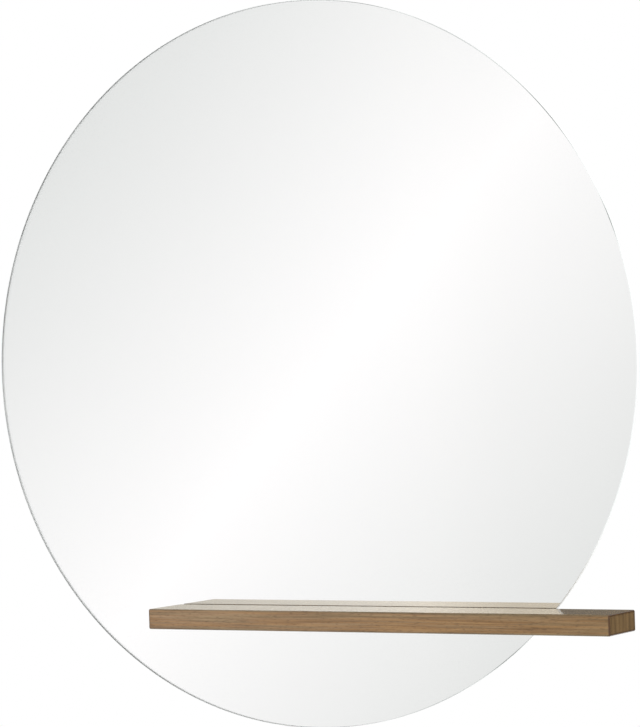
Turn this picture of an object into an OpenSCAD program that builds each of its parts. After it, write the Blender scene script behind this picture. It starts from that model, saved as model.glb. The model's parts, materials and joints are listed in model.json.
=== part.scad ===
// Frameless round wall mirror with a wooden shelf fixed in front of its lower part.
// The mirror hangs by a bevelled cleat on a matching wall cleat and lifts off it.
// Frame: the wall is the plane y = 0 and the room is at -Y, +Z is up, and the origin
// is the middle of the wall cleat's screw holes. Millimetres.

/* [Mirror] */
// Diameter of the glass
mirror_d = 914; // [900:2:940]
// Thickness of the glass
glass_t = 5; // [4:1:6]
// Width of the small bevel on both rims of the glass
glass_arris = 0.8; // [0.4:0.1:1.5]
// Height of the glass's centre above the wall cleat's screw holes
mirror_cz = -200; // [-260:5:-160]

/* [Shelf] */
// Length of the shelf board
shelf_len = 635; // [600:5:700]
// Depth of the shelf board, from the glass to its front
shelf_d = 76; // [60:1:120]
// Thickness of the shelf board
shelf_t = 25.4; // [20:0.2:30]
// How far the shelf's left end lies left of the glass's centre
shelf_left = 190; // [180:5:230]
// How far the shelf's top lies below the glass's centre
shelf_drop = 303; // [280:1:310]
// Radius that eases the shelf's edges
shelf_ease = 2; // [0.6:0.2:3]

/* [Backing board] */
// Diameter of the round board behind the glass
board_d = 860; // [840:5:880]
// Thickness of the round board behind the glass
board_t = 12; // [12:1:16]
// Width of the bevel round the board's back
board_bevel = 1.5; // [0.5:0.5:3]

/* [Cleats] */
// Length of both cleats
cleat_len = 450; // [400:10:500]
// Distance between the backing board and the wall
cleat_space = 12; // [10:1:18]
// Play between a cleat and the surface that it faces
cleat_play = 0.5; // [0.3:0.1:1]
// Height of the wall cleat's back face above and below its screw holes, without the bevel
wall_cleat_half = 20; // [16:1:24]
// Height of the mirror cleat's back face
mirror_cleat_h = 50; // [40:2:60]
// Distance between neighbouring wall screws
wall_hole_pitch = 135.5; // [100:0.5:145]
// Diameter of the wall screw holes
wall_hole_d = 5.5; // [4.5:0.5:6]

/* [Hidden] */
$fn = 96;

// How much further than a solid its cutter reaches
over = 1;
// Radial room round a screw in its hole
screw_play = 0.05;

// Layers behind the glass
silver_t = 0.3;
silver_inset = 0.5;
tape_t = 1;
tape_w = 25;
tape_pitch = 150;
tape_max_len = 540;
tape_margin = 15;

// Depths of the layers, counted from the wall towards the room
board_back_y = cleat_space;
board_front_y = board_back_y + board_t;
silver_back_y = board_front_y + tape_t;
glass_back_y = silver_back_y + silver_t;
glass_front_y = glass_back_y + glass_t;
gasket_t = 1;
shelf_back_y = glass_front_y + gasket_t;

// Where the two cleats meet, as depths and heights
bevel_low_z = wall_cleat_half;
bevel_back = [cleat_play, bevel_low_z + cleat_play];
bevel_front = [cleat_space - cleat_play, bevel_low_z + cleat_space - cleat_play];
cleat_top_z = bevel_low_z + mirror_cleat_h;
wall_holes = 4;
wall_head_r = 5.2;

// Countersunk screws that hold the mirror cleat to the board
cleat_screw_count = 6;
cleat_screw_pitch = 80;
cleat_screw_z = bevel_low_z + 34;

// Wood screws into the back of the board, and the blind holes that take them
wood_screw_r = 2;
wood_head_r = 4;
pilot_deep = board_t - 2.5;
pilot_gap = 1;
cross_len = 4;
cross_w = 0.9;
cross_deep = 1.3;

// Screws, washers, collars and inserts that hold the shelf
shelf_screw_r = 3;
shelf_screw_len = 35;
shelf_head_r = 5.25;
shelf_head_h = 3.3;
shelf_head_flat_r = 3.3;
hex_across = 4;
hex_deep = 2;
washer_r = 9;
washer_t = 1.6;
sleeve_r = 5.7;
sleeve_flange_r = 12;
glass_hole_r = 6;
board_hole_r = 3.3;
insert_r = 4;
insert_len = 13;
shelf_hole_deep = 16;
shelf_screw_x = [-140, 50, 240];
shelf_top_z = mirror_cz - shelf_drop;
shelf_mid_z = shelf_top_z - shelf_t / 2;

// Rubber strip behind the shelf
gasket_inset = 3;
gasket_margin = 18;
gasket_right = sqrt(pow(mirror_d / 2, 2) - pow(shelf_drop + shelf_t, 2)) - gasket_margin;

// Rubber pads low on the board, each with a screw through its middle
bumper_r = 14;
bumper_foot_r = 12;
bumper_edge = 1;
bumper_x = 250;
bumper_drop = 250;
bumper_bore_r = 2.3;
bumper_recess_r = 5;
bumper_recess = 5;
bumper_screw_y = bumper_recess - wood_head_r + bumper_bore_r;

// Colours
oak = [0.59, 0.48, 0.37];
plywood = [0.80, 0.66, 0.47];
zinc = [0.72, 0.73, 0.75];
rubber = [0.14, 0.14, 0.14];

// Lays a solid that was drawn along +Z so that its base is at depth y0 and it runs to the room
module to_room(y0) {
    translate([0, -y0, 0]) rotate([90, 0, 0]) children();
}

// The same, at each of the three screws of the shelf
module at_shelf_screws(y0) {
    for (x = shelf_screw_x)
        translate([x, 0, shelf_mid_z]) to_room(y0) children();
}

// The same, at each screw of the mirror cleat
module at_cleat_screws(y0) {
    for (i = [0 : cleat_screw_count - 1])
        translate([(i - (cleat_screw_count - 1) / 2) * cleat_screw_pitch, 0, cleat_screw_z])
            to_room(y0) children();
}

// The same, at the screw of each bumper
module at_bumpers(y0) {
    for (x = [-bumper_x, bumper_x])
        translate([x, 0, mirror_cz - bumper_drop]) to_room(y0) children();
}

// Flat-headed wood screw with a cross recess, its head at depth y0 and its tip just short of
// the end of its blind hole. The head is a true cone.
module wood_screw(y0) {
    difference() {
        union() {
            cylinder(h = wood_head_r - wood_screw_r, r1 = wood_head_r, r2 = wood_screw_r);
            cylinder(h = board_back_y + pilot_deep - pilot_gap - y0, r = wood_screw_r);
        }
        for (turn = [0, 90])
            rotate([0, 0, turn]) translate([-cross_len / 2, -cross_w / 2, -over])
                cube([cross_len, cross_w, cross_deep + over]);
    }
}

// Blind hole in the back of the board
module pilot_hole() {
    cylinder(h = pilot_deep + over, r = wood_screw_r + screw_play);
}

// Straight hole whose mouth is a cone, for a flat-headed screw. The mouth's rim is at z = 0.
module countersunk_hole(len, hole_r, rim_r) {
    translate([0, 0, -over]) cylinder(h = len + 2 * over, r = hole_r);
    cylinder(h = rim_r - hole_r, r1 = rim_r, r2 = hole_r);
    translate([0, 0, -over]) cylinder(h = over, r = rim_r);
}

// Square with its four corners rounded by true arcs
module eased_square(size, r) {
    translate([r, 0]) square([size.x - 2 * r, size.y]);
    translate([0, r]) square([size.x, size.y - 2 * r]);
    for (x = [r, size.x - r], y = [r, size.y - r])
        translate([x, y]) circle(r, $fn = 32);
}

// Upright disc whose two rims are bevelled, with its back at depth y0
module bevelled_disc(d, t, back_bevel, front_bevel, y0) {
    r = d / 2;
    translate([0, 0, mirror_cz]) to_room(y0)
        rotate_extrude($fn = 360) polygon([
            [0, 0], [r - back_bevel, 0], [r, back_bevel],
            [r, t - front_bevel], [r - front_bevel, t], [0, t]
        ]);
}

module mirror_glass() {
    color([0.82, 0.90, 0.88, 0.4]) difference() {
        bevelled_disc(mirror_d, glass_t, glass_arris, glass_arris, glass_back_y);
        at_shelf_screws(glass_back_y - over) cylinder(h = glass_t + 2 * over, r = glass_hole_r);
    }
}

// Silver, paint and safety film as one thin sheet
module silver_backing() {
    color([0.90, 0.92, 0.92]) difference() {
        translate([0, 0, mirror_cz]) to_room(silver_back_y)
            cylinder(h = silver_t, r = mirror_d / 2 - glass_arris - silver_inset, $fn = 360);
        at_shelf_screws(silver_back_y - over) cylinder(h = silver_t + 2 * over, r = glass_hole_r);
    }
}

// One upright strip of foam tape. It ends short of the board's rim.
module bonding_tape(x) {
    reach = sqrt(pow(board_d / 2, 2) - pow(abs(x) + tape_w / 2, 2)) - tape_margin;
    len = min(tape_max_len, 2 * reach);
    color([0.93, 0.93, 0.90])
        translate([x - tape_w / 2, -board_front_y - tape_t, mirror_cz - len / 2])
            cube([tape_w, tape_t, len]);
}

module bonding_tape_number(i) {
    bonding_tape((i - 3) * tape_pitch);
}

module backing_board() {
    color([0.55, 0.43, 0.31]) difference() {
        bevelled_disc(board_d, board_t, board_bevel, 0.5, board_back_y);
        at_shelf_screws(board_back_y - over) cylinder(h = board_t + 2 * over, r = board_hole_r);
        at_cleat_screws(board_back_y - over) pilot_hole();
        at_bumpers(board_back_y - over) pilot_hole();
    }
}

// Solid board with every edge eased, drilled from behind for its inserts
module shelf_board() {
    color(oak) difference() {
        translate([-shelf_left, -shelf_back_y - shelf_d, shelf_top_z - shelf_t]) intersection() {
            linear_extrude(shelf_t) eased_square([shelf_len, shelf_d], shelf_ease);
            translate([0, shelf_d, 0]) rotate([90, 0, 0])
                linear_extrude(shelf_d) eased_square([shelf_len, shelf_t], shelf_ease);
            rotate([90, 0, 90]) linear_extrude(shelf_len) eased_square([shelf_d, shelf_t], shelf_ease);
        }
        at_shelf_screws(shelf_back_y - over) cylinder(h = shelf_hole_deep + over, r = insert_r);
    }
}

// Strip that keeps the wood off the glass
module shelf_gasket() {
    left = -shelf_left + 2 * gasket_inset;
    color(rubber) difference() {
        translate([left, -shelf_back_y, shelf_top_z - shelf_t + gasket_inset])
            cube([gasket_right - left, gasket_t, shelf_t - 2 * gasket_inset]);
        at_shelf_screws(glass_front_y - over) cylinder(h = gasket_t + 2 * over, r = insert_r);
    }
}

module shelf_inserts() {
    color([0.78, 0.62, 0.30]) at_shelf_screws(shelf_back_y) difference() {
        cylinder(h = insert_len, r = insert_r);
        translate([0, 0, -over])
            cylinder(h = insert_len + 2 * over, r = shelf_screw_r + screw_play);
    }
}

// Button head with a hexagon socket, then the shank
module shelf_screws() {
    head_base = board_back_y - washer_t - shelf_head_h;
    color(zinc) at_shelf_screws(head_base) difference() {
        union() {
            rotate_extrude() polygon([
                [0, 0], [shelf_head_flat_r, 0], [shelf_head_r - 0.5, 1.2],
                [shelf_head_r, 2.6], [shelf_head_r, shelf_head_h], [0, shelf_head_h]
            ]);
            cylinder(h = shelf_head_h + shelf_screw_len, r = shelf_screw_r);
        }
        translate([0, 0, -over]) cylinder(h = hex_deep + over, d = hex_across / cos(30), $fn = 6);
    }
}

module shelf_washers() {
    color(zinc) at_shelf_screws(board_back_y - washer_t) difference() {
        cylinder(h = washer_t, r = washer_r);
        translate([0, 0, -over])
            cylinder(h = washer_t + 2 * over, r = shelf_screw_r + 0.2);
    }
}

// Collar with a flange as thick as the tape and a barrel that fills the glass's hole
module glass_sleeves() {
    barrel = glass_front_y - board_front_y;
    color([0.92, 0.92, 0.90]) at_shelf_screws(board_front_y) difference() {
        union() {
            cylinder(h = tape_t, r = sleeve_flange_r);
            cylinder(h = barrel, r = sleeve_r);
        }
        translate([0, 0, -over])
            cylinder(h = barrel + 2 * over, r = shelf_screw_r + screw_play);
    }
}

// Extrudes a cleat's cross-section, drawn as [depth, height], along the cleat's length
module cleat_prism(section) {
    translate([cleat_len / 2, 0, 0]) rotate([90, 0, -90]) linear_extrude(cleat_len) polygon(section);
}

// Board on the back of the mirror. Its lower edge is bevelled so that it hooks behind the wall cleat.
module mirror_cleat() {
    color(plywood) difference() {
        cleat_prism([
            bevel_back, bevel_front, [bevel_front.x, bevel_front.y + cleat_play],
            [cleat_space, bevel_front.y + cleat_play], [cleat_space, cleat_top_z], [cleat_play, cleat_top_z]
        ]);
        at_cleat_screws(cleat_play)
            countersunk_hole(cleat_space, wood_screw_r + screw_play, wood_head_r + screw_play);
    }
}

module cleat_screws() {
    color(zinc) at_cleat_screws(cleat_play) wood_screw(cleat_play);
}

// Round pad that fills the space between board and wall, with a recess for its screw's head
module bumper(x) {
    color(rubber) translate([x, 0, mirror_cz - bumper_drop]) to_room(0)
        rotate_extrude() polygon([
            [bumper_recess_r, 0], [bumper_foot_r - bumper_edge, 0], [bumper_foot_r, bumper_edge],
            [bumper_r, board_back_y], [bumper_bore_r, board_back_y],
            [bumper_bore_r, bumper_recess], [bumper_recess_r, bumper_recess]
        ]);
}

module bumper_screws() {
    color(zinc) at_bumpers(bumper_screw_y) wood_screw(bumper_screw_y);
}

// Board on the wall. Its upper edge is bevelled to leave a groove between it and the wall.
module wall_cleat() {
    color(plywood) difference() {
        cleat_prism([
            [0, -wall_cleat_half], [bevel_front.x, -wall_cleat_half], bevel_front, [0, bevel_low_z]
        ]);
        for (i = [0 : wall_holes - 1])
            translate([(i - (wall_holes - 1) / 2) * wall_hole_pitch, -bevel_front.x, 0]) rotate([-90, 0, 0])
                countersunk_hole(bevel_front.x, wall_hole_d / 2, wall_head_r);
    }
}

mirror_glass();
silver_backing();
bonding_tape_number(1);  // bonding_tape_1
bonding_tape_number(2);  // bonding_tape_2
bonding_tape_number(3);  // bonding_tape_3
bonding_tape_number(4);  // bonding_tape_4
bonding_tape_number(5);  // bonding_tape_5
backing_board();
shelf_board();
shelf_gasket();
shelf_inserts();
shelf_screws();
shelf_washers();
glass_sleeves();
mirror_cleat();
cleat_screws();
bumper(-bumper_x);  // bumper_left
bumper(bumper_x);  // bumper_right
bumper_screws();
wall_cleat();
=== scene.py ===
"""Looks of a frameless round wall mirror with a wooden shelf in front of its lower part.

Metres. The wall is the plane y = 0, the room is at -Y and +Z is up.
y falls towards the room, so the glass's front face has the lowest y of the disc.
"""
import json

import bmesh
import bpy
import numpy as np
from mathutils import Matrix, Vector


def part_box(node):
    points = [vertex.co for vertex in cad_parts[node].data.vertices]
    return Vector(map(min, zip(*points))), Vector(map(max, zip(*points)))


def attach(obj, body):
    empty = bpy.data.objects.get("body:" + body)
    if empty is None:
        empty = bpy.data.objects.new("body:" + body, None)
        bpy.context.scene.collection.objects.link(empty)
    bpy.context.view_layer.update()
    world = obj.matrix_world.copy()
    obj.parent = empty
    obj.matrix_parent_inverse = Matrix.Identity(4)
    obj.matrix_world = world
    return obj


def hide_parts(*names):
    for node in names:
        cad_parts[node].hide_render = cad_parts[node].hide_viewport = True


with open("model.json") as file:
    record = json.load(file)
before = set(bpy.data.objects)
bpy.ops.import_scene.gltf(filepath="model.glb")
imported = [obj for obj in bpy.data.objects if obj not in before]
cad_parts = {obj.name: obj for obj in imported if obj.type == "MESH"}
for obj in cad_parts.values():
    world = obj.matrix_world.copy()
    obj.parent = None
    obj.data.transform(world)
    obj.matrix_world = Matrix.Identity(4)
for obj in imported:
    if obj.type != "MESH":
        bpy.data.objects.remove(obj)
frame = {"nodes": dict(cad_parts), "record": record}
nodes = frame["nodes"]
scene = bpy.context.scene
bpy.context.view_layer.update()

# Camera, worked out from the disc's outline and the shelf's corners, with its lens and sensor in
# millimetres, and how near and far it sees
CAMERA_PLACE = Vector((1.9785, -3.5358, -0.1939))
CAMERA_YAW = np.radians(29.112)
CAMERA_PITCH = np.radians(-0.080)
CAMERA_ROLL = np.radians(-1.769)
CAMERA_LENS = 158.755
CAMERA_SENSOR = 36.0
CAMERA_REACH = (0.05, 100.0)

# Sizes that the frame's boxes don't give
GLASS_ARRIS = 0.0008
BOARD_BEVEL = 0.0015
BOARD_FRONT_EASE = 0.0005
SHELF_EASE = 0.002
CLEAT_EASE = 0.0006
PAINT_GAP = 0.00002
SHELF_SCREW_HEAD_R = 0.00525
GLASS_HOLE_R = 0.006
BOARD_HOLE_R = 0.0033
INSERT_R = 0.004
INSERT_HOLE_DEEP = 0.016
WOOD_SCREW_HEAD_R = 0.004
PILOT_R = 0.00205
PILOT_DEEP = 0.0095
WALL_HEAD_R = 0.0052
WALL_HOLE_R = 0.00275
PLYWOOD_THICK = 0.0115
PLIES = 9.0
SHELF_SCREWS = 3
CLEAT_SCREWS = 6
TAPES = 5

# How finely round things are cut, how far a drill runs past a face, and when two points are one
ROUND_STEPS = 720
HOLE_STEPS = 48
SHELF_EASE_STEPS = 8
CLEAT_EASE_STEPS = 3
OVER = 0.001
MERGE = 1e-7

# Angles in degrees past which an edge stays sharp
GLASS_SHARP = 20.0
DISC_SHARP = 30.0
CLEAT_SHARP = 35.0
SHELF_SHARP = 40.0

# Places round the rim where the glass's ground bevel and edge are painted greyer, a painted shade, and
# where the seal is painted paler, a painted light: middle and half width in degrees clockwise from the top,
# and how much
RIM_SHADE_PLACES = (
    (13, 5, 0.8), (27, 8, 0.5), (44, 12, 0.5), (50, 5, 0.7), (69, 3, 0.95), (143, 4, 1.0), (157, 9, 0.5),
)
RIM_LIGHT_PLACES = (
    (185, 14, 1.0), (202, 8, 0.8), (245, 20, 1.0), (267, 8, 0.6), (312, 5, 0.7), (354, 9, 1.0),
)

# Where the pieces are, from the frame
glass_low, glass_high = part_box("mirror_glass")
silver_low, silver_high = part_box("silver_backing")
board_low, board_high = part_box("backing_board")
shelf_low, shelf_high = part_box("shelf_board")
shelf_screws_low, shelf_screws_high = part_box("shelf_screws")
cleat_screws_low, cleat_screws_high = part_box("cleat_screws")
cleat_low, cleat_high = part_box("mirror_cleat")
wall_low, wall_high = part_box("wall_cleat")
DISC_Z = (glass_low.z + glass_high.z) / 2
SHELF_SCREW_Z = (shelf_screws_low.z + shelf_screws_high.z) / 2
SHELF_SCREW_X = np.linspace(
    shelf_screws_low.x + SHELF_SCREW_HEAD_R, shelf_screws_high.x - SHELF_SCREW_HEAD_R, SHELF_SCREWS
)
CLEAT_SCREW_Z = (cleat_screws_low.z + cleat_screws_high.z) / 2
CLEAT_SCREW_X = np.linspace(
    cleat_screws_low.x + WOOD_SCREW_HEAD_R, cleat_screws_high.x - WOOD_SCREW_HEAD_R, CLEAT_SCREWS
)
PADS = [
    (sum(corner.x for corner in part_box(name)) / 2, sum(corner.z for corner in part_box(name)) / 2)
    for name in ("bumper_left", "bumper_right")
]
WALL_HOLE_X = sorted(
    side * mount["dims"]["spacing_x_mm"] / 2000
    for mount in frame["record"]["mounts"]
    if mount["kind"] == "bolt_pattern"
    for side in (-1, 1)
)


# ---------------------------------------------------------------- camera


def place_camera():
    """A camera at the photograph's place. Forward is the yaw and pitch direction, and the roll turns
    right and up about it."""
    forward = Vector((
        -np.sin(CAMERA_YAW) * np.cos(CAMERA_PITCH),
        np.cos(CAMERA_YAW) * np.cos(CAMERA_PITCH),
        np.sin(CAMERA_PITCH),
    ))
    level = Vector((np.cos(CAMERA_YAW), np.sin(CAMERA_YAW), 0.0))
    upright = level.cross(forward)
    right = level * np.cos(CAMERA_ROLL) + upright * np.sin(CAMERA_ROLL)
    up = upright * np.cos(CAMERA_ROLL) - level * np.sin(CAMERA_ROLL)
    lens = bpy.data.cameras.new("camera")
    lens.lens = CAMERA_LENS
    lens.sensor_width = CAMERA_SENSOR
    lens.clip_start, lens.clip_end = CAMERA_REACH
    camera = bpy.data.objects.new("camera", lens)
    turn = Matrix((right, up, -forward)).transposed()
    camera.matrix_world = Matrix.Translation(CAMERA_PLACE) @ turn.to_4x4()
    scene.collection.objects.link(camera)
    scene.camera = camera


place_camera()


# ---------------------------------------------------------------- shapes


def grid_mesh(name, rings, first_pole, last_pole, ring_finish=None):
    """Closed skin over rings of points, an array (rings, around, 3). Neighbouring rings are joined by
    quads that close round each ring, and the first and last ring are closed by a fan to a pole.
    ring_finish gives each band's material number: first fan, every band between rings, last fan."""
    count, around, _ = rings.shape
    points = np.vstack([rings.reshape(-1, 3), first_pole, last_pole])
    here = np.arange(count * around).reshape(count, around)
    beside = np.roll(here, -1, axis=1)
    quads = np.stack([here[:-1], here[1:], beside[1:], beside[:-1]], axis=-1).reshape(-1, 4)
    first = np.stack([here[0], beside[0], np.full(around, count * around)], axis=-1)
    last = np.stack([beside[-1], here[-1], np.full(around, count * around + 1)], axis=-1)
    mesh = bpy.data.meshes.new(name)
    mesh.from_pydata(points.tolist(), [], quads.tolist() + first.tolist() + last.tolist())
    if ring_finish is not None:
        band = np.repeat(ring_finish[1:-1], around)
        ends = np.repeat([ring_finish[0], ring_finish[-1]], around)
        mesh.polygons.foreach_set("material_index", np.concatenate([band, ends]).astype(np.int32))
    return mesh


def revolved(name, profile, centre, steps=ROUND_STEPS, ring_finish=None):
    """Solid of revolution about an axis that runs along Y through centre = (x, z).
    profile is a list of (radius, y); point = (x + radius cos a, y, z + radius sin a)."""
    angle = np.linspace(0, 2 * np.pi, steps, endpoint=False)
    radius, depth = np.asarray(profile, float).T
    rings = np.stack([
        centre[0] + radius[:, None] * np.cos(angle),
        np.repeat(depth[:, None], steps, axis=1),
        centre[1] + radius[:, None] * np.sin(angle),
    ], axis=-1)
    poles = [(centre[0], depth[i], centre[1]) for i in (0, -1)]
    return grid_mesh(name, rings, *poles, ring_finish)


def eased_outline(corners, ease, steps):
    """Convex outline, anticlockwise, whose corners are arcs. An arc's centre lies one radius inside both
    sides: corner - ease (n1 + n2) / (1 + n1.n2), with n1 and n2 the sides' outward normals. Its points
    are centre + ease (cos a, sin a), with a turning from n1 to n2. Returns the points and normals."""
    corners = np.asarray(corners, float)
    into = corners - np.roll(corners, 1, axis=0)
    out = np.roll(corners, -1, axis=0) - corners
    turn_in = np.arctan2(into[:, 1], into[:, 0]) - np.pi / 2
    turn_out = np.arctan2(out[:, 1], out[:, 0]) - np.pi / 2
    sweep = (turn_out - turn_in) % (2 * np.pi)
    n1 = np.stack([np.cos(turn_in), np.sin(turn_in)], axis=-1)
    n2 = np.stack([np.cos(turn_out), np.sin(turn_out)], axis=-1)
    centre = corners - ease * (n1 + n2) / (1 + (n1 * n2).sum(1))[:, None]
    angle = turn_in[:, None] + sweep[:, None] * np.linspace(0, 1, steps + 1)
    normals = np.stack([np.cos(angle), np.sin(angle)], axis=-1)
    points = centre[:, None] + ease * normals
    return points.reshape(-1, 2), normals.reshape(-1, 2)


def carried_along_x(name, corners, start, end, ease, steps):
    """Board with every edge eased: an eased outline in (y, z) carried along X. Near an end the outline
    shrinks along its normals by ease (1 - sin t) while x moves in by ease (1 - cos t), a quarter turn."""
    points, normals = eased_outline(corners, ease, steps)
    turn = np.linspace(0, np.pi / 2, steps + 1)
    inset = ease * (1 - np.sin(turn))
    along = ease * (1 - np.cos(turn))
    x = np.concatenate([start + along, end - along[::-1]])
    shrink = np.concatenate([inset, inset[::-1]])
    section = points[None] - shrink[:, None, None] * normals[None]
    rings = np.concatenate([np.repeat(x[:, None, None], len(points), axis=1), section], axis=-1)
    middle = points.mean(axis=0)
    return grid_mesh(name, rings, (start, *middle), (end, *middle))


def piece_of(mesh, body, replaced, materials):
    """Makes a piece of a closed mesh, with its materials, and hangs it on its body."""
    turn_outwards(mesh)
    piece = bpy.data.objects.new(mesh.name, mesh)
    scene.collection.objects.link(piece)
    for material in materials:
        mesh.materials.append(material)
    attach(piece, body)
    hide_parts(*replaced)
    return piece


def turn_outwards(mesh):
    """Merges points that lie on each other and turns the faces outwards."""
    skin = bmesh.new()
    skin.from_mesh(mesh)
    bmesh.ops.remove_doubles(skin, verts=skin.verts, dist=MERGE)
    bmesh.ops.recalc_face_normals(skin, faces=skin.faces)
    skin.to_mesh(mesh)
    skin.free()


def drilled(piece, drills):
    """Cuts closed meshes out of a piece and keeps the result as its mesh."""
    cutters = []
    for number, mesh in enumerate(drills):
        turn_outwards(mesh)
        cutter = bpy.data.objects.new(f"{piece.name}_drill_{number}", mesh)
        scene.collection.objects.link(cutter)
        cutters.append(cutter)
        cut = piece.modifiers.new(f"cut_{number}", "BOOLEAN")
        cut.operation = "DIFFERENCE"
        cut.solver = "EXACT"
        cut.object = cutter
    keep_modified(piece)
    for cutter in cutters:
        bpy.data.objects.remove(cutter)


def keep_modified(piece):
    """Replaces the piece's mesh by what its modifiers make of it."""
    graph = bpy.context.evaluated_depsgraph_get()
    graph.update()
    made = bpy.data.meshes.new_from_object(piece.evaluated_get(graph))
    made.name = piece.data.name
    piece.modifiers.clear()
    piece.data = made


def shaded(piece, sharp_degrees):
    """Smooth shading with sharp edges past an angle, and normals that follow the large faces."""
    mesh = piece.data
    mesh.polygons.foreach_set("use_smooth", np.ones(len(mesh.polygons), bool))
    mesh.set_sharp_from_angle(angle=np.radians(sharp_degrees))
    weighted = piece.modifiers.new("weighted", "WEIGHTED_NORMAL")
    weighted.keep_sharp = True
    weighted.weight = 100
    keep_modified(piece)


# ---------------------------------------------------------------- materials


class Finish:
    """A material being built. Each method adds one step to it and returns that step's output."""

    def __init__(self, name):
        self.material = bpy.data.materials.new(name)
        self.material.use_nodes = True
        self.tree = self.material.node_tree
        self.shader = self.tree.nodes["Principled BSDF"]
        self.place = self.tree.nodes.new("ShaderNodeTexCoord").outputs["Object"]

    def feed(self, socket, value):
        """Links an output to a socket, or sets the socket to a plain value."""
        if isinstance(value, bpy.types.NodeSocket):
            self.tree.links.new(value, socket)
        elif isinstance(value, tuple) and len(value) == 3 and socket.type == "RGBA":
            socket.default_value = (*value, 1.0)
        else:
            socket.default_value = value

    def stretched(self, x, y, z, source=None):
        """Object coordinates times (x, y, z), so that a pattern's features are 1/x, 1/y and 1/z metres."""
        node = self.tree.nodes.new("ShaderNodeVectorMath")
        node.operation = "MULTIPLY"
        self.feed(node.inputs[0], source or self.place)
        node.inputs[1].default_value = (x, y, z)
        return node.outputs[0]

    def shifted(self, vector, offset):
        """A vector moved by an offset."""
        node = self.tree.nodes.new("ShaderNodeVectorMath")
        node.operation = "ADD"
        self.feed(node.inputs[0], vector)
        self.feed(node.inputs[1], offset)
        return node.outputs[0]

    def noise(self, vector, detail=2.0, rough=0.5, wide=False):
        """Noise from 0 to 1 with features of about one unit, or as a vector of three if wide."""
        node = self.tree.nodes.new("ShaderNodeTexNoise")
        self.feed(node.inputs["Vector"], vector)
        node.inputs["Scale"].default_value = 1.0
        node.inputs["Detail"].default_value = detail
        node.inputs["Roughness"].default_value = rough
        return node.outputs["Color" if wide else "Fac"]

    def cells(self, vector):
        """How far a point is from the middle of the nearest cell."""
        node = self.tree.nodes.new("ShaderNodeTexVoronoi")
        self.feed(node.inputs["Vector"], vector)
        node.inputs["Scale"].default_value = 1.0
        return node.outputs["Distance"]

    def maths(self, operation, a, b=0.0):
        """One step of arithmetic."""
        node = self.tree.nodes.new("ShaderNodeMath")
        node.operation = operation
        self.feed(node.inputs[0], a)
        self.feed(node.inputs[1], b)
        return node.outputs[0]

    def span(self, value, low, high, to_low=0.0, to_high=1.0, smooth=True):
        """Maps low..high to to_low..to_high and holds the ends."""
        node = self.tree.nodes.new("ShaderNodeMapRange")
        node.interpolation_type = "SMOOTHSTEP" if smooth else "LINEAR"
        for socket, number in zip(node.inputs[:5], (value, low, high, to_low, to_high)):
            self.feed(socket, number)
        return node.outputs[0]

    def mix(self, share, a, b, blend="MIX"):
        """Colour a with a share of b over it, or a multiplied by that share of b."""
        node = self.tree.nodes.new("ShaderNodeMix")
        node.data_type = "RGBA"
        node.blend_type = blend
        self.feed(node.inputs[0], share)
        self.feed(node.inputs[6], a)
        self.feed(node.inputs[7], b)
        return node.outputs[2]

    def stops(self, value, *stops):
        """Colour ramp through (place, colour) stops."""
        node = self.tree.nodes.new("ShaderNodeValToRGB")
        elements = node.color_ramp.elements
        while len(elements) < len(stops):
            elements.new(0.5)
        for element, (place, colour) in zip(elements, stops):
            element.position = place
            element.color = (*colour, 1.0)
        self.feed(node.inputs[0], value)
        return node.outputs[0]

    def part(self, axis):
        """One coordinate, X, Y or Z, or 0, 1 or 2."""
        node = self.tree.nodes.new("ShaderNodeSeparateXYZ")
        self.feed(node.inputs[0], self.place)
        return node.outputs[axis]

    def mark(self, name):
        """A value that the piece's own points or face corners hold."""
        node = self.tree.nodes.new("ShaderNodeAttribute")
        node.attribute_name = name
        return node.outputs["Fac"]

    def edge_distance(self, low, high):
        """How far a point on a box's surface is from the nearest edge. It is the middle one of the three
        distances half - |place - centre|, since the smallest is 0 on the face itself."""
        reach = []
        for axis in range(3):
            middle, half = (low[axis] + high[axis]) / 2, (high[axis] - low[axis]) / 2
            offset = self.maths("ABSOLUTE", self.maths("SUBTRACT", self.part(axis), middle))
            reach.append(self.maths("SUBTRACT", half, offset))
        a, b, c = reach
        nearer = self.maths("MINIMUM", a, b)
        farther = self.maths("MAXIMUM", a, b)
        return self.maths("MAXIMUM", nearer, self.maths("MINIMUM", farther, c))

    def bumped(self, height, strength, distance):
        """Shades the surface as if a height stood out of it by up to a distance."""
        node = self.tree.nodes.new("ShaderNodeBump")
        node.inputs["Strength"].default_value = strength
        node.inputs["Distance"].default_value = distance
        self.feed(node.inputs["Height"], height)
        self.feed(self.shader.inputs["Normal"], node.outputs[0])

    def done(self, **inputs):
        """Sets the shader's own sockets, named with _ for a space, and returns the material."""
        for name, value in inputs.items():
            self.feed(self.shader.inputs[name.replace("_", " ")], value)
        return self.material


def clear_glass():
    """Float glass with a trace of green. Its polished face has the slightest waviness."""
    f = Finish("clear_glass")
    f.bumped(f.noise(f.stretched(6, 6, 6), 1.0), 0.02, 0.00005)
    return f.done(Base_Color=(0.985, 0.993, 0.989), Roughness=0.0, IOR=1.52, Transmission_Weight=1.0)


# Ground edge and bevel: plain tone, tone of the painted shade at the listed places round the rim, and
# roughness from inside
GROUND_EDGE = ((0.93, 0.95, 0.94), (0.88, 0.90, 0.89), 0.3)
GROUND_ARRIS = ((0.78, 0.80, 0.795), (0.20, 0.215, 0.21), 0.7)


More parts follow.
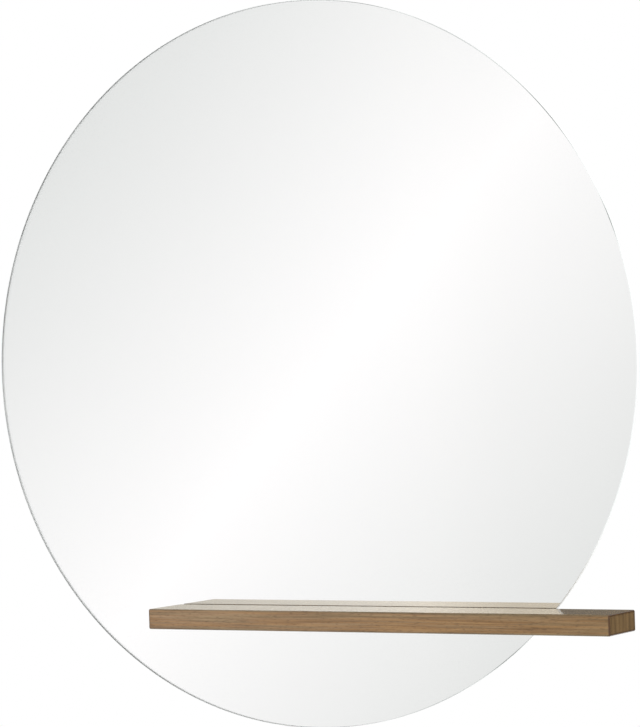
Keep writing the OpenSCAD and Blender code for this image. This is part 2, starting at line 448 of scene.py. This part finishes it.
def ground_glass(name, fine, painted_shade_tone, within):
    """Edge ground by wheels: satin, with marks that run round the rim. At listed places round the rim it is
    painted greyer, a painted shade. From outside it scatters nearly all light. From inside the sheet it
    lets light through, which the roughness within scatters."""
    f = Finish(name)
    grain = f.noise(f.stretched(900, 4000, 900), 3.0)
    colour = f.mix(f.mark("rim_painted_shade"), fine, painted_shade_tone)
    colour = f.mix(f.span(grain, 0.3, 0.7, 0.0, 0.12), colour, (0.95, 0.97, 0.96))
    inside = f.tree.nodes.new("ShaderNodeNewGeometry").outputs["Backfacing"]
    f.bumped(grain, 0.05, 0.0001)
    return f.done(
        Base_Color=f.mix(inside, colour, (0.97, 0.985, 0.98)),
        Roughness=f.mix(inside, f.span(grain, 0.3, 0.7, 0.22, 0.36), (within, within, within)), IOR=1.52,
        Transmission_Weight=inside
    )


def edge_seal():
    """Grey paint that seals the sheet's rear arris, where the silver ends. It shows through the glass as a
    thin line along the far side of the rim. At listed places round the rim it is painted pale, a painted
    light on that line."""
    f = Finish("edge_seal")
    brush = f.noise(f.stretched(11, 11, 11), 2.0)
    colour = f.mix(f.span(brush, 0.35, 0.65), (0.36, 0.365, 0.365), (0.66, 0.665, 0.665))
    # Painted light: the seal is paler at the listed places round the rim
    colour = f.mix(f.mark("rim_painted_light"), colour, (0.92, 0.93, 0.93))
    return f.done(Base_Color=colour, Roughness=f.span(brush, 0.3, 0.7, 0.4, 0.6))


def silver():
    """Silver layer as it shows through the glass."""
    f = Finish("silver")
    tone = f.noise(f.stretched(5, 5, 5), 2.0)
    colour = f.mix(tone, (0.955, 0.965, 0.96), (0.965, 0.975, 0.97))
    return f.done(Base_Color=colour, Metallic=1.0, Roughness=0.0)


def mirror_paint():
    """Grey protective paint on the silver's back, rolled on, with a faint orange peel."""
    f = Finish("mirror_paint")
    peel = f.noise(f.stretched(700, 700, 700), 2.0)
    cloud = f.noise(f.stretched(9, 9, 9), 3.0)
    colour = f.mix(cloud, (0.27, 0.29, 0.30), (0.33, 0.35, 0.36))
    f.bumped(peel, 0.25, 0.0001)
    return f.done(Base_Color=colour, Roughness=f.span(cloud, 0.3, 0.7, 0.42, 0.55))


# Oak's tones: streaks, fibres and pores along the board, and stripes and fibres on its ends
OAK_DARK = (0.186, 0.107, 0.050)
OAK_MEAN = (0.302, 0.186, 0.096)
OAK_LIGHT = (0.402, 0.264, 0.146)
OAK_PORE = (0.080, 0.043, 0.018)
# End grain's own darker tone, made darker still by a painted shade on the end faces
END_DARK = (0.102, 0.060, 0.0205)
END_MEAN = (0.142, 0.083, 0.030)
END_LIGHT = (0.184, 0.111, 0.043)
END_FIBRE = (0.10, 0.06, 0.026)
# What these are multiplied by: cooler and warmer streaks, a painted shade towards the board's right end,
# and a painted shade on the eased edges along the board, round its ends and on the corners between the two
COOL = (0.93, 1.00, 1.00)
NEUTRAL = (1.0, 1.0, 1.0)
WARM = (1.06, 0.98, 0.82)
RIGHT_END_SHADE = (0.86, 0.83, 0.68)
EASE_SHADE_LONG = (0.68, 0.76, 0.86)
EASE_SHADE_END = (0.50, 0.40, 0.26)
CORNER_SHADE = (0.44, 0.29, 0.12)
# How far from an edge its painted shade stays full and where it ends, along the board and on its ends
SHADE_REACH_LONG = (0.0008, 0.0028)
SHADE_REACH_END = (0.0012, 0.0040)
# Where in the easing towards an end, from 0 to 1, the corner's painted shade is strongest, and how far from
# there it starts to fade and is gone
CORNER_TURN = 0.6
CORNER_FADE = (0.2, 0.45)


def lacquered_oak():
    """Oak under a thin satin lacquer. Growth rings stand nearly upright along the board, so the end shows
    upright stripes and the front shows long streaks and fine lines, some of them warmer. Pores are short
    dark dashes. The eased edges carry a painted shade, darkest on the corners, and the long faces a painted
    shade towards the right end."""
    f = Finish("lacquered_oak")
    sway = f.noise(f.stretched(3, 14, 14), 2.0, wide=True)
    sway = f.shifted(sway, (-0.5, -0.5, -0.5))
    place = f.shifted(f.place, f.stretched(0.0, 0.006, 0.006, sway))
    streaks = f.noise(f.stretched(7, 380, 380, place), 3.0, 0.6)
    lines = f.noise(f.stretched(16, 850, 850, place), 1.0)
    broad = f.noise(f.stretched(2.2, 55, 55, place), 1.0)
    fibres = f.noise(f.stretched(40, 1500, 1500, place), 2.0, 0.6)
    pores = f.span(f.noise(f.stretched(120, 1000, 1000, place), 1.0), 0.55, 0.70)
    rings = f.noise(f.stretched(0.5, 125, 10, place), 2.0, 0.6)
    hue = f.noise(f.stretched(7, 340, 340, place), 1.0)
    tone = f.maths("ADD", f.maths("MULTIPLY", streaks, 0.58), f.maths("MULTIPLY", broad, 0.18))
    tone = f.maths("ADD", tone, f.maths("MULTIPLY", lines, 0.24))
    colour = f.stops(tone, (0.34, OAK_DARK), (0.50, OAK_MEAN), (0.64, OAK_LIGHT))
    colour = f.mix(f.span(fibres, 0.35, 0.65, 0.0, 0.28), colour, OAK_DARK)
    colour = f.mix(f.maths("MULTIPLY", pores, 0.44), colour, OAK_PORE)
    warmth = f.stops(hue, (0.36, COOL), (0.50, NEUTRAL), (0.64, WARM))
    colour = f.mix(1.0, colour, warmth, "MULTIPLY")
    # Painted shade: the long faces grow darker and warmer towards the board's right end
    rightward = f.span(f.part("X"), shelf_low.x, shelf_high.x, smooth=False)
    colour = f.mix(rightward, colour, f.mix(1.0, colour, RIGHT_END_SHADE, "MULTIPLY"))
    end = f.mark("end_grain")
    striped = f.stops(rings, (0.38, END_DARK), (0.50, END_MEAN), (0.62, END_LIGHT))
    striped = f.mix(f.span(fibres, 0.35, 0.65, 0.0, 0.3), striped, END_FIBRE)
    colour = f.mix(end, colour, striped)
    # Painted shade: the eased edges are darkened, and the corners most of all
    inward = f.edge_distance(shelf_low, shelf_high)
    eased = f.mix(end, f.span(inward, *SHADE_REACH_LONG, 1.0, 0.0), f.span(inward, *SHADE_REACH_END, 1.0, 0.0))
    from_corner = f.maths("ABSOLUTE", f.maths("SUBTRACT", end, CORNER_TURN))
    darker = f.mix(end, EASE_SHADE_LONG, EASE_SHADE_END)
    darker = f.mix(f.span(from_corner, *CORNER_FADE, 1.0, 0.0), darker, CORNER_SHADE)
    colour = f.mix(eased, colour, f.mix(1.0, colour, darker, "MULTIPLY"))
    height = f.maths("SUBTRACT", fibres, f.maths("MULTIPLY", pores, 0.8))
    f.bumped(height, 0.02, 0.0002)
    return f.done(
        Base_Color=colour, Roughness=f.span(fibres, 0.3, 0.7, 0.08, 0.12), IOR=1.5,
        Sheen_Weight=0.12, Sheen_Roughness=0.3, Sheen_Tint=(1.0, 0.85, 0.5)
    )


def fibreboard():
    """Raw medium-density fibreboard: fine felted fibres, darker on the machined edge."""
    f = Finish("fibreboard")
    felt = f.noise(f.stretched(900, 900, 900), 4.0, 0.65)
    cloud = f.noise(f.stretched(12, 12, 12), 3.0)
    hairs = f.span(f.noise(f.stretched(500, 1500, 1900), 2.0, 0.6), 0.58, 0.70)
    colour = f.mix(cloud, (0.43, 0.305, 0.185), (0.51, 0.375, 0.235))
    colour = f.mix(f.span(felt, 0.35, 0.65, 0.0, 0.45), colour, (0.36, 0.25, 0.15))
    colour = f.mix(f.maths("MULTIPLY", hairs, 0.5), colour, (0.24, 0.155, 0.085))
    colour = f.mix(f.mark("cut_edge"), colour, (0.78, 0.74, 0.70), "MULTIPLY")
    f.bumped(felt, 0.3, 0.0002)
    return f.done(Base_Color=colour, Roughness=0.75, Specular_IOR_Level=0.3)


def birch_plywood():
    """Birch plywood sawn lengthwise: pale veneer on both faces, and plies that alternate through the
    thickness, which runs along Y. Every other ply shows darker end grain."""
    f = Finish("birch_plywood")
    depth = f.maths("DIVIDE", f.part("Y"), -PLYWOOD_THICK)
    ply = f.maths("MULTIPLY", depth, PLIES)
    within = f.maths("FRACT", ply)
    odd = f.maths("GREATER_THAN", f.maths("MODULO", ply, 2.0), 1.0)
    figure = f.noise(f.stretched(6, 60, 60), 3.0, 0.55)
    fibres = f.noise(f.stretched(60, 1500, 1500), 2.0, 0.6)
    dots = f.noise(f.stretched(1800, 1800, 1800), 2.0, 0.6)
    veneer = f.mix(figure, (0.53, 0.365, 0.205), (0.68, 0.50, 0.31))
    veneer = f.mix(f.span(fibres, 0.4, 0.7, 0.0, 0.35), veneer, (0.42, 0.27, 0.14))
    across = f.mix(dots, (0.30, 0.185, 0.095), (0.46, 0.31, 0.175))
    layered = f.mix(odd, veneer, across)
    glue = f.span(f.maths("ABSOLUTE", f.maths("SUBTRACT", within, 0.5)), 0.42, 0.49)
    layered = f.mix(f.maths("MULTIPLY", glue, 0.75), layered, (0.13, 0.075, 0.04))
    colour = f.mix(f.mark("cut_edge"), veneer, layered)
    f.bumped(f.maths("ADD", fibres, f.maths("MULTIPLY", dots, 0.4)), 0.25, 0.0002)
    return f.done(Base_Color=colour, Roughness=0.62, Specular_IOR_Level=0.35)


def zinc_plate():
    """Bright zinc on steel, slightly clouded and scuffed."""
    f = Finish("zinc_plate")
    cloud = f.noise(f.stretched(350, 350, 350), 3.0)
    colour = f.mix(cloud, (0.56, 0.58, 0.60), (0.70, 0.70, 0.69))
    f.bumped(f.noise(f.stretched(2500, 2500, 2500), 2.0), 0.08, 0.0001)
    return f.done(Base_Color=colour, Metallic=1.0, Roughness=f.span(cloud, 0.3, 0.7, 0.24, 0.42))


def black_rubber():
    """Moulded rubber, matt, with a dusty bloom in places."""
    f = Finish("black_rubber")
    bloom = f.noise(f.stretched(160, 160, 160), 3.0)
    colour = f.mix(bloom, (0.018, 0.018, 0.019), (0.045, 0.044, 0.043))
    f.bumped(f.noise(f.stretched(2600, 2600, 2600), 2.0), 0.2, 0.0001)
    return f.done(Base_Color=colour, Roughness=f.span(bloom, 0.3, 0.7, 0.52, 0.72))


def foam_tape():
    """White closed-cell foam, its cells showing along the cut edges."""
    f = Finish("foam_tape")
    cell = f.cells(f.stretched(2200, 2200, 2200))
    colour = f.mix(cell, (0.88, 0.88, 0.85), (0.78, 0.78, 0.75))
    f.bumped(cell, 0.35, 0.0002)
    return f.done(Base_Color=colour, Roughness=0.85)


def natural_nylon():
    """Turned nylon, off-white, with a faint lathe line."""
    f = Finish("natural_nylon")
    line = f.noise(f.stretched(300, 5000, 300), 2.0)
    colour = f.mix(line, (0.80, 0.80, 0.76), (0.88, 0.88, 0.85))
    f.bumped(line, 0.15, 0.0001)
    return f.done(Base_Color=colour, Roughness=0.42)


def turned_brass():
    """Turned brass with fine tool lines across its length."""
    f = Finish("turned_brass")
    line = f.noise(f.stretched(200, 6000, 200), 2.0)
    colour = f.mix(line, (0.64, 0.46, 0.18), (0.78, 0.60, 0.28))
    f.bumped(line, 0.2, 0.0001)
    return f.done(Base_Color=colour, Metallic=1.0, Roughness=f.span(line, 0.3, 0.7, 0.22, 0.36))


# ---------------------------------------------------------------- pieces


def hole(centre, radius, from_y, to_y):
    """Cutter for a straight round hole along Y."""
    return revolved("hole", [(radius, from_y), (radius, to_y)], centre, HOLE_STEPS)


def sunk_hole(centre, radius, mouth_radius, mouth_y, end_y):
    """Cutter for a hole whose mouth is a 45 degree cone at mouth_y. It runs on to end_y."""
    way = np.sign(end_y - mouth_y)
    slope = mouth_radius - radius
    profile = [
        (mouth_radius, mouth_y - way * OVER), (mouth_radius, mouth_y),
        (radius, mouth_y + way * slope), (radius, end_y),
    ]
    return revolved("sunk_hole", profile, centre, HOLE_STEPS)


def shelf_screw_holes(radius, from_y, to_y):
    """Cutters for the holes of the shelf's screws in one layer."""
    return [hole((x, SHELF_SCREW_Z), radius, from_y, to_y) for x in SHELF_SCREW_X]


def points_of(mesh):
    """The mesh's points as an array (count, 3)."""
    points = np.zeros(len(mesh.vertices) * 3)
    mesh.vertices.foreach_get("co", points)
    return points.reshape(-1, 3)


def mark_points(mesh, name, values):
    """Keeps a value for each point under a name that the materials read."""
    layer = mesh.attributes.new(name, "FLOAT", "POINT")
    layer.data.foreach_set("value", values.astype(np.float32))


def make_glass():
    """Round sheet: polished front, arris, ground edge, arris with its seal, silvered back."""
    radius, front, back = glass_high.x, glass_low.y, glass_high.y
    profile = [
        (radius - GLASS_ARRIS, front), (radius, front + GLASS_ARRIS),
        (radius, back - GLASS_ARRIS), (radius - GLASS_ARRIS, back),
    ]
    finishes = [
        clear_glass(), ground_glass("ground_edge", *GROUND_EDGE), silver(), edge_seal(),
        ground_glass("ground_arris", *GROUND_ARRIS),
    ]
    glass, edge, mirror, seal, arris = range(len(finishes))
    bands = [glass, arris, edge, seal, mirror]
    mesh = revolved("glass_plate", profile, (0.0, DISC_Z), ring_finish=bands)
    piece = piece_of(mesh, "mirror", ["mirror_glass"], finishes)
    drills = shelf_screw_holes(GLASS_HOLE_R, front - OVER, back + OVER)
    for drill in drills:
        drill.polygons.foreach_set("material_index", np.full(len(drill.polygons), edge, np.int32))
    drilled(piece, drills)
    shaded(piece, GLASS_SHARP)
    # Painted shade: the ground edge and bevel turn greyer at the listed places round the rim
    mark_round_rim(piece.data, "rim_painted_shade", RIM_SHADE_PLACES)
    # Painted light: the seal turns paler at the listed places round the rim
    mark_round_rim(piece.data, "rim_painted_light", RIM_LIGHT_PLACES)


def mark_round_rim(mesh, name, places):
    """Marks each point by its angle about the disc's axis: the sum of a bell curve
    amount exp(-(turn / half_width)^2) about each place, held to 1."""
    x, _, z = points_of(mesh).T
    angle = np.degrees(np.arctan2(x, z - DISC_Z))
    mark = np.zeros(len(angle))
    for middle, half_width, amount in places:
        turn = (angle - middle + 180) % 360 - 180
        mark += amount * np.exp(-(turn / half_width) ** 2)
    mark_points(mesh, name, np.minimum(mark, 1))


def make_backing_paint():
    """Paint and safety film behind the silver, a hair behind the glass."""
    radius = silver_high.x
    front, back = silver_low.y + PAINT_GAP, silver_high.y
    mesh = revolved("backing_paint", [(radius, front), (radius, back)], (0.0, DISC_Z))
    piece = piece_of(mesh, "mirror", ["silver_backing"], [mirror_paint()])
    drilled(piece, shelf_screw_holes(GLASS_HOLE_R, front - OVER, back + OVER))
    shaded(piece, DISC_SHARP)


def make_board():
    """Round board behind the glass, with the holes of every screw that goes into it."""
    radius, front, back = board_high.x, board_low.y, board_high.y
    profile = [
        (radius - BOARD_FRONT_EASE, front), (radius, front + BOARD_FRONT_EASE),
        (radius, back - BOARD_BEVEL), (radius - BOARD_BEVEL, back),
    ]
    mesh = revolved("round_board", profile, (0.0, DISC_Z))
    piece = piece_of(mesh, "mirror", ["backing_board"], [fibreboard()])
    pilots = [(x, CLEAT_SCREW_Z) for x in CLEAT_SCREW_X] + PADS
    drills = shelf_screw_holes(BOARD_HOLE_R, front - OVER, back + OVER)
    drills += [hole(centre, PILOT_R, back - PILOT_DEEP, back + OVER) for centre in pilots]
    drilled(piece, drills)
    shaded(piece, DISC_SHARP)
    mark_cut_edge(piece.data)


def mark_cut_edge(mesh):
    """Marks each face's corners with how far it turns from the board's two large faces, which look along
    Y: 0 on those and 1 on a face across them."""
    normals = np.zeros(len(mesh.polygons) * 3)
    mesh.polygons.foreach_get("normal", normals)
    across = 1 - np.abs(normals.reshape(-1, 3)[:, 1])
    counts = np.zeros(len(mesh.polygons), np.int32)
    mesh.polygons.foreach_get("loop_total", counts)
    layer = mesh.attributes.new("cut_edge", "FLOAT", "CORNER")
    layer.data.foreach_set("value", np.repeat(across, counts).astype(np.float32))


def make_shelf():
    """Shelf board, every edge eased, drilled from behind for its inserts."""
    low, high = shelf_low, shelf_high
    corners = [(low.y, low.z), (high.y, low.z), (high.y, high.z), (low.y, high.z)]
    mesh = carried_along_x("oak_shelf", corners, low.x, high.x, SHELF_EASE, SHELF_EASE_STEPS)
    piece = piece_of(mesh, "mirror", ["shelf_board"], [lacquered_oak()])
    drilled(piece, shelf_screw_holes(INSERT_R, high.y - INSERT_HOLE_DEEP, high.y + OVER))
    shaded(piece, SHELF_SHARP)
    mark_end_grain(piece.data, low.x, high.x, SHELF_EASE)


def mark_end_grain(mesh, start, end, ease):
    """Marks each point with how far it is through the easing towards the nearer end, along X: 0 on the
    long faces and 1 on the ends."""
    x = points_of(mesh)[:, 0]
    past_middle = np.abs(x - (start + end) / 2)
    mark = np.clip((past_middle - (end - start) / 2 + ease) / ease, 0, 1)
    mark_points(mesh, "end_grain", mark)


def make_mirror_cleat():
    """Plywood cleat on the mirror. Its lower edge is a 45 degree bevel that rests on the wall cleat."""
    back, front = cleat_high.y, cleat_low.y
    low, high = cleat_low.z, cleat_high.z
    corners = [(front, low + back - front), (back, low), (back, high), (front, high)]
    mesh = carried_along_x(
        "mirror_hanger", corners, cleat_low.x, cleat_high.x, CLEAT_EASE, CLEAT_EASE_STEPS
    )
    piece = piece_of(mesh, "mirror", ["mirror_cleat"], [birch_plywood()])
    holes = [
        sunk_hole((x, CLEAT_SCREW_Z), PILOT_R, WOOD_SCREW_HEAD_R, back, front - OVER) for x in CLEAT_SCREW_X
    ]
    finish_cleat(piece, holes)


def make_wall_cleat():
    """Plywood cleat on the wall, its upper edge bevelled towards the wall, with four countersunk holes."""
    back, front = wall_high.y, wall_low.y
    low, high = wall_low.z, wall_high.z
    corners = [(front, low), (back, low), (back, high - (back - front)), (front, high)]
    mesh = carried_along_x("wall_hanger", corners, wall_low.x, wall_high.x, CLEAT_EASE, CLEAT_EASE_STEPS)
    piece = piece_of(mesh, "wall", ["wall_cleat"], [birch_plywood()])
    holes = [sunk_hole((x, 0.0), WALL_HOLE_R, WALL_HEAD_R, front, back + OVER) for x in WALL_HOLE_X]
    finish_cleat(piece, holes)


def finish_cleat(piece, holes):
    """Drills a cleat, shades it and marks its sawn edges."""
    drilled(piece, holes)
    shaded(piece, CLEAT_SHARP)
    mark_cut_edge(piece.data)


def finish_cad_nodes():
    """Gives each piece that keeps its shape from the frame its own material."""
    plan = {
        "foam_tape": (foam_tape, [f"bonding_tape_{number + 1}" for number in range(TAPES)]),
        "black_rubber": (black_rubber, ["shelf_gasket", "bumper_left", "bumper_right"]),
        "brass": (turned_brass, ["shelf_inserts"]),
        "steel": (zinc_plate, ["shelf_screws", "shelf_washers", "cleat_screws", "bumper_screws"]),
        "nylon": (natural_nylon, ["glass_sleeves"]),
    }
    for slot, (make, names) in plan.items():
        material = make()
        for name in names:
            for place in nodes[name].material_slots:
                place.link = "OBJECT"
                place.material = material


make_glass()
make_backing_paint()
make_board()
make_shelf()
make_mirror_cleat()
make_wall_cleat()
finish_cad_nodes()


# ---------------------------------------------------------------- light

# Direction across the soft bands of light that the mirror shows, and half their spacing
BAND_ACROSS = (0.6677, -0.3670, -0.6430)
BAND_HALF = 0.1877
BAND_LIGHT = (1.072, 1.046, 1.060)
BAND_DARK = (0.627, 0.646, 0.637)
# Dark corners of the studio on the wall's side, which the shelf's free end and its top reflect
DARK_CORNERS = ((-0.488, 0.869, 0.080), (0.488, 0.869, 0.080))
CORNER_TONE = (0.135, 0.135, 0.135)
SIDE_TONE = (0.75, 0.75, 0.75)
CORNER_REACH = (0.86, 0.96)
# Shares of +Y between which the room's bands turn into the wall's side
WALL_TURN = (-0.05, 0.15)
# Diffuse light: its mean, and how it grows towards +X, +Y and +Z
SOFT_MEAN = 0.925
SOFT_GROWTH = (0.48, -0.11, 0.45)
# Light that has met two glossy faces, such as lacquer and silver: its tint, the warmer tint it turns to
# between two shares of +X, and its strength, which rises from the first to the second place and falls
# again to the third
TWICE_TINT = (1.08, 1.04, 0.955)
TWICE_WARM = (1.125, 1.045, 0.885)
TWICE_WARMING = (-0.475, -0.434)
TWICE_PLACES = (-0.522, -0.458, -0.434)
TWICE_STRENGTHS = (0.92, 1.10, 0.74)
# Past these shares of +X it turns into a plain tone
TWICE_END = (-0.40, -0.36)
WHITE = (1.0, 1.0, 1.0)
# A depth between one glossy face and two
PAST_ONE = 1.5


def light_studio():
    """World light by kind of ray. The camera sees plain white. Diffuse rays get a soft light that grows
    evenly towards one side. Reflections see broad bands towards the room, whose light falls evenly over
    half the spacing and rises again, and a plain side with dark corners towards the wall. A ray that has
    met two glossy faces sees the same, tinted, or plain white past TWICE_END."""
    world = bpy.data.worlds.new("studio")
    world.use_nodes = True
    scene.world = world
    tree = world.node_tree
    background = tree.nodes["Background"]
    direction = tree.nodes.new("ShaderNodeTexCoord").outputs["Generated"]
    rays = tree.nodes.new("ShaderNodeLightPath").outputs

    def node(kind, *inputs, **settings):
        """A node with its settings, each input linked or set."""
        made = tree.nodes.new("ShaderNode" + kind)
        for name, value in settings.items():
            setattr(made, name, value)
        for socket, value in zip(made.inputs, inputs):
            if isinstance(value, bpy.types.NodeSocket):
                tree.links.new(value, socket)
            elif value is not None:
                socket.default_value = value
        return made

    def along(way):
        """How far the ray's direction points along a way."""
        return node("VectorMath", direction, way, operation="DOT_PRODUCT").outputs["Value"]

    def blend(share, a, b):
        """Colour a with a share of b over it."""
        made = node("Mix", share, data_type="RGBA")
        for socket, value in zip((made.inputs[6], made.inputs[7]), (a, b)):
            if isinstance(value, bpy.types.NodeSocket):
                tree.links.new(value, socket)
            else:
                socket.default_value = (*value, 1.0)
        return made.outputs[2]

    away = node("Math", along(BAND_ACROSS), BAND_HALF, operation="PINGPONG").outputs[0]
    share = node("MapRange", away, 0.0, BAND_HALF, 0.0, 1.0).outputs[0]
    bands = blend(share, BAND_LIGHT, BAND_DARK)
    nearest = node("Math", *[along(way) for way in DARK_CORNERS], operation="MAXIMUM").outputs[0]
    corner = node("MapRange", nearest, *CORNER_REACH, interpolation_type="SMOOTHSTEP").outputs[0]
    behind = blend(corner, SIDE_TONE, CORNER_TONE)
    wallward = along((0.0, 1.0, 0.0))
    to_wall = node("MapRange", wallward, *WALL_TURN, interpolation_type="SMOOTHSTEP").outputs[0]
    seen = blend(to_wall, bands, behind)
    rightward = along((1.0, 0.0, 0.0))
    first, peak, last = TWICE_PLACES
    low, high, end = TWICE_STRENGTHS
    rise = node("MapRange", rightward, first, peak, low, high).outputs[0]
    fall = node("MapRange", rightward, peak, last, 1.0, end / high).outputs[0]
    strength = node("Math", rise, fall, operation="MULTIPLY").outputs[0]
    warmer = node("MapRange", rightward, *TWICE_WARMING).outputs[0]
    tint = node("VectorMath", blend(warmer, TWICE_TINT, TWICE_WARM), operation="SCALE")
    tree.links.new(strength, tint.inputs["Scale"])
    twice = node("Mix", 1.0, data_type="RGBA", blend_type="MULTIPLY")
    tree.links.new(seen, twice.inputs[6])
    tree.links.new(tint.outputs["Vector"], twice.inputs[7])
    past = node("MapRange", rightward, *TWICE_END).outputs[0]
    twice = blend(past, twice.outputs[2], WHITE)
    again = node("Math", rays["Glossy Depth"], PAST_ONE, operation="GREATER_THAN").outputs[0]
    seen = blend(again, seen, twice)
    soft = node("Math", along(SOFT_GROWTH), SOFT_MEAN, operation="ADD").outputs[0]
    light = blend(rays["Is Diffuse Ray"], seen, soft)
    light = blend(rays["Is Camera Ray"], light, WHITE)
    tree.links.new(light, background.inputs["Color"])
    background.inputs["Strength"].default_value = 1.0


# Floor: its height, size and thickness, the steps round it, and between which distances it fades
FLOOR_Z = -1.70
FLOOR_R = 3.0
FLOOR_THICK = 0.001
FLOOR_STEPS = 96
FLOOR_FADE = (1.0, 2.4)


def lay_floor():
    """Plain pale floor far below the mirror. It fades to the white background, and from below it is
    clear."""
    mesh = revolved("floor", [(FLOOR_R, -FLOOR_THICK), (FLOOR_R, 0.0)], (0.0, 0.0), FLOOR_STEPS)
    mesh.transform(Matrix.Rotation(np.pi / 2, 4, "X"))
    mesh.transform(Matrix.Translation((0.0, 0.0, FLOOR_Z)))
    floor = bpy.data.objects.new("floor", mesh)
    scene.collection.objects.link(floor)
    f = Finish("pale_floor")
    tree, made = f.tree, f.tree.nodes.new
    grain = f.noise(f.stretched(40, 40, 40), 3.0)
    f.feed(f.shader.inputs["Base Color"], f.mix(grain, (0.86, 0.86, 0.86), (0.90, 0.90, 0.90)))
    f.shader.inputs["Roughness"].default_value = 0.8
    flat = f.stretched(1.0, 1.0, 0.0)
    reach = made("ShaderNodeVectorMath")
    reach.operation = "LENGTH"
    f.feed(reach.inputs[0], flat)
    fade = f.span(reach.outputs["Value"], *FLOOR_FADE)
    white = made("ShaderNodeEmission")
    clear = made("ShaderNodeBsdfTransparent")
    faded = made("ShaderNodeMixShader")
    f.feed(faded.inputs[0], fade)
    f.feed(faded.inputs[1], f.shader.outputs[0])
    f.feed(faded.inputs[2], white.outputs[0])
    sided = made("ShaderNodeMixShader")
    f.feed(sided.inputs[0], made("ShaderNodeNewGeometry").outputs["Backfacing"])
    f.feed(sided.inputs[1], faded.outputs[0])
    f.feed(sided.inputs[2], clear.outputs[0])
    f.feed(tree.nodes["Material Output"].inputs["Surface"], sided.outputs[0])
    mesh.materials.append(f.material)


light_studio()
lay_floor()
scene.view_settings.view_transform = "Standard"
